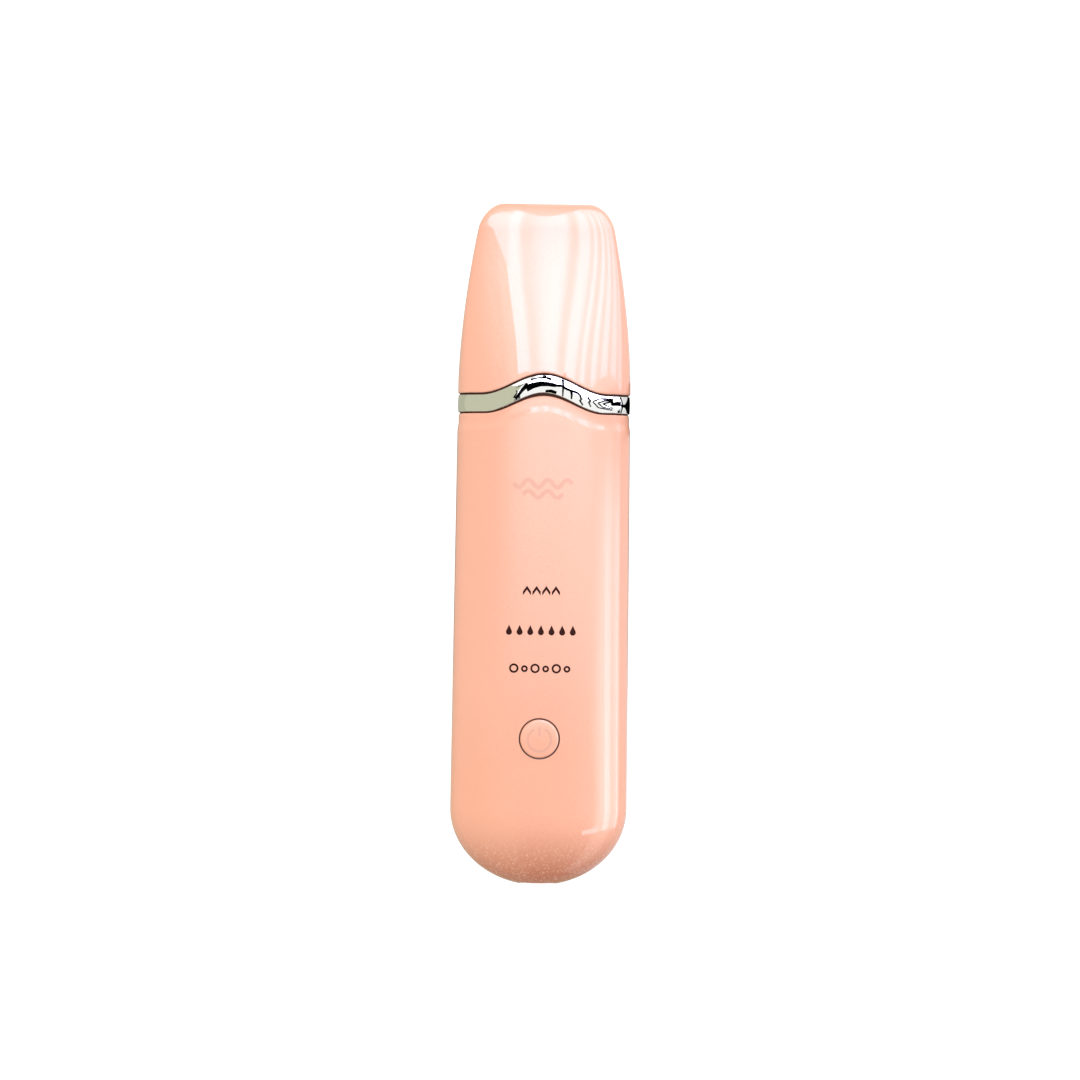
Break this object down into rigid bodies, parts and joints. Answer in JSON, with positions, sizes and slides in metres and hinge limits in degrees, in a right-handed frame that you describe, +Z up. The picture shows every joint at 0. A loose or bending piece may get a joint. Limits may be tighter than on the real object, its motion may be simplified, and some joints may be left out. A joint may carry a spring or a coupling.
{
  "type": "skin scrubber",
  "caption": "Slim rounded ultrasonic facial skin scrubber with a round power button, printed mode symbols, a wavy chrome band and a pull-off cap over a steel spatula blade.",
  "frame": {"origin": "middle of the length and width, under the flat back that the scrubber lies on, with the cap pushed on", "axes": "+X across the handle, +Y along it towards the tip of the cap, +Z up out of the front with the button"},
  "size_m": [0.046, 0.1776, 0.0185],
  "materials": {
    "pearl_plastic": "gloss",
    "chrome_plate": "polished",
    "nose_plastic": "satin",
    "blade_steel": "satin",
    "screw_steel": "satin",
    "silicone": "matte",
    "aluminium": "satin",
    "piezo_ceramic": "satin",
    "contact_brass": "satin",
    "circuit_board": "satin",
    "black_plastic": "satin",
    "diffuser": "satin",
    "white_plastic": "satin",
    "ferrite": "matte",
    "copper_wire": "gloss",
    "battery_film": "satin",
    "foam": "matte",
    "red_insulation": "satin",
    "black_insulation": "satin"
  },
  "bodies": {
    "handle": {"front_shell": "pearl_plastic", "rear_shell": "pearl_plastic", "chrome_band": "chrome_plate", "nose_housing": "nose_plastic", "blade": "blade_steel", "blade_seal": "silicone", "blade_screw_left": "screw_steel", "blade_screw_right": "screw_steel", "horn": "aluminium", "isolator_ring": "silicone", "transducer_clamp": "nose_plastic", "clamp_screw_left": "screw_steel", "clamp_screw_right": "screw_steel", "piezo_ring_front": "piezo_ceramic", "electrode_front": "contact_brass", "piezo_ring_rear": "piezo_ceramic", "electrode_rear": "contact_brass", "rear_mass": "blade_steel", "stack_bolt": "screw_steel", "main_board": "circuit_board", "tact_switch": "black_plastic", "indicator_led_1": "white_plastic", "indicator_led_2": "white_plastic", "indicator_led_3": "white_plastic", "light_shroud": "black_plastic", "light_diffuser": "diffuser", "control_chip": "black_plastic", "driver_chip": "black_plastic", "transformer_core": "ferrite", "transformer_winding": "copper_wire", "filter_capacitor": "black_plastic", "charge_inductor": "ferrite", "usb_socket": "screw_steel", "usb_tongue": "black_plastic", "battery_cell": "battery_film", "battery_pad": "foam", "battery_header": "white_plastic", "battery_plug": "white_plastic", "battery_lead_red": "red_insulation", "battery_lead_black": "black_insulation", "transducer_lead_red": "red_insulation", "transducer_lead_black": "black_insulation", "ion_lead": "black_insulation", "contact_spring": "contact_brass", "shell_screw_upper_left": "screw_steel", "shell_screw_upper_right": "screw_steel", "shell_screw_lower_left": "screw_steel", "shell_screw_lower_right": "screw_steel", "board_screw_upper_left": "screw_steel", "board_screw_upper_right": "screw_steel", "board_screw_lower": "screw_steel"},
    "cap": {"protective_cap": "pearl_plastic"},
    "button": {"power_button": "pearl_plastic"},
    "plunger": {"switch_plunger": "black_plastic"}
  },
  "joints": [
    {"name": "cap_slide", "type": "slide", "parent": "handle", "child": "cap", "axis": [0, 1, 0], "range_m": [0, 0.06]},
    {"name": "power_button_press", "type": "slide", "parent": "handle", "child": "button", "axis": [0, 0, -1], "range_m": [0, 0.00035], "stiffness_N_per_m": 1500, "springref_m": -0.0003},
    {"name": "switch_plunger_travel", "type": "slide", "parent": "handle", "child": "plunger", "axis": [0, 0, -1], "range_m": [0, 0.00035]}
  ],
  "couplings": [
    {"joint": "switch_plunger_travel", "follows": "power_button_press", "ratio": 1}
  ]
}
